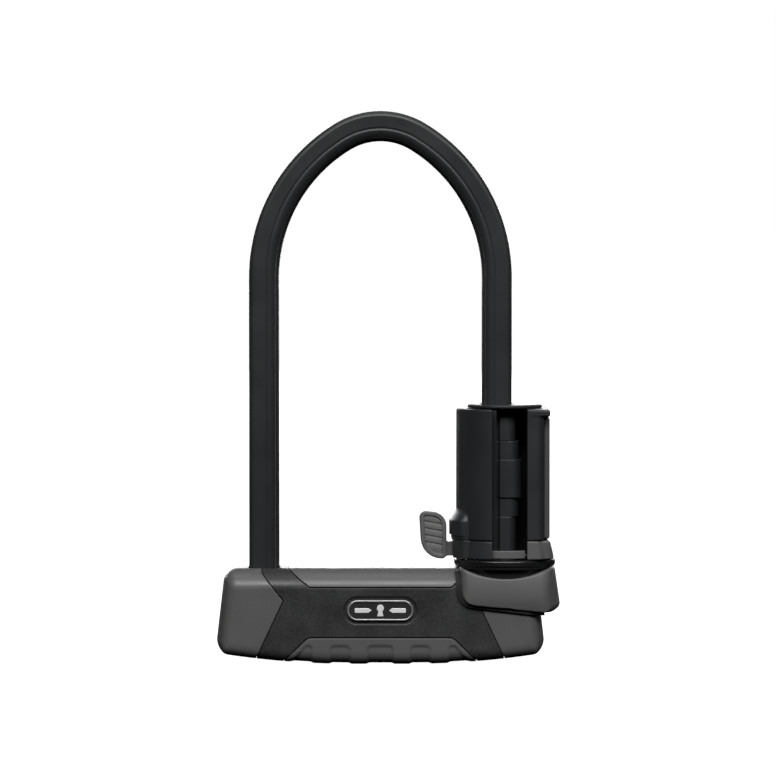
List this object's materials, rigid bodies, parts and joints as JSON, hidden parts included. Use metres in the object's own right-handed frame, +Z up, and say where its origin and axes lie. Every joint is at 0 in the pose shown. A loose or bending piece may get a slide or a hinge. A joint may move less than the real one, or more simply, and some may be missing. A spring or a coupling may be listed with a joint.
{
  "type": "u lock",
  "caption": "Parabolic U lock: coated square shackle, cased double-bolt lock body with a keyhole shutter, and a swivelling carrier bracket clipped round one leg.",
  "frame": {"origin": "on the cylinder axis at the middle of the lock body, at the level of the flat pads under it", "axes": "+Z up along the shackle legs, +X along the lock body to the leg that carries the bracket, -Y the badge side"},
  "size_m": [0.1838, 0.054, 0.2941],
  "materials": {
    "hardened_steel": "satin",
    "screw_steel": "satin",
    "brass": "satin",
    "casing_black": "matte",
    "cover_grey": "satin",
    "grip_grey": "matte",
    "badge_silver": "satin",
    "badge_dark": "satin",
    "seal_rubber": "matte",
    "shutter_black": "satin",
    "shackle_black": "satin",
    "bracket_grey": "satin",
    "bracket_black": "satin",
    "bumper_rubber": "matte"
  },
  "bodies": {
    "lock_body": {"lock_core": "hardened_steel", "core_lid": "hardened_steel", "lid_screws": "screw_steel", "casing_front": "casing_black", "casing_back": "casing_black", "end_cap_left": "cover_grey", "end_cap_right": "cover_grey", "top_panel": "cover_grey", "bottom_grip": "grip_grey", "badge_plate": "badge_dark", "badge_bezel": "badge_silver", "shackle_seal_left": "seal_rubber", "shackle_seal_right": "seal_rubber", "cylinder_housing": "brass", "cylinder_pin": "screw_steel", "shutter_guide": "shutter_black", "adapter_cup": "bracket_grey", "cup_liner": "seal_rubber", "adapter_base": "bracket_black", "index_ring": "bracket_black", "leg_sleeve_front": "bracket_black", "leg_sleeve_back": "bracket_black", "sleeve_screws": "screw_steel", "top_disc": "bracket_black"},
    "shackle": {"shackle_bar": "hardened_steel", "shackle_coat": "shackle_black"},
    "plug": {"cylinder_plug": "brass", "key_guard": "hardened_steel", "code_discs": "brass", "sidebar": "hardened_steel", "cam_disc": "hardened_steel"},
    "left_bolt": {"bolt_left": "hardened_steel", "drive_pin_left": "hardened_steel"},
    "right_bolt": {"bolt_right": "hardened_steel", "drive_pin_right": "hardened_steel"},
    "shutter": {"keyhole_shutter": "shutter_black"},
    "holder": {"holder_shell": "bracket_black", "holder_tube": "bracket_black", "foot_collar": "bracket_black", "foot_bracket": "bracket_grey", "bumper_strip": "bumper_rubber", "holder_screws": "screw_steel", "lever_spring": "screw_steel"},
    "lever": {"release_lever": "bracket_grey"}
  },
  "joints": [
    {"name": "shackle_lift", "type": "slide", "parent": "lock_body", "child": "shackle", "axis": [0, 0, 1], "range_m": [0, 0.14]},
    {"name": "key_turn", "type": "hinge", "parent": "lock_body", "child": "plug", "pos_m": [0, 0, 0.016], "axis": [0, 0, 1], "range_deg": [0, 90]},
    {"name": "left_bolt_slide", "type": "slide", "parent": "lock_body", "child": "left_bolt", "axis": [-1, 0, 0], "range_m": [0, 0.0045]},
    {"name": "right_bolt_slide", "type": "slide", "parent": "lock_body", "child": "right_bolt", "axis": [1, 0, 0], "range_m": [0, 0.0048]},
    {"name": "shutter_slide", "type": "slide", "parent": "lock_body", "child": "shutter", "axis": [0, 1, 0], "range_m": [0, 0.009]},
    {"name": "holder_swivel", "type": "hinge", "parent": "lock_body", "child": "holder", "pos_m": [0.0664, 0, 0.09], "axis": [0, 0, 1], "continuous": true},
    {"name": "lever_press", "type": "hinge", "parent": "holder", "child": "lever", "pos_m": [0.0664, 0, 0.06], "axis": [0, 0, -1], "range_deg": [0, 45], "stiffness_Nm_per_rad": 0.15, "springref_deg": -20.05, "deforming": ["lever_spring"]}
  ],
  "couplings": [
    {"joint": "key_turn", "follows": "left_bolt_slide", "rad_per_m": 349.07},
    {"joint": "right_bolt_slide", "follows": "left_bolt_slide", "ratio": 1}
  ]
}
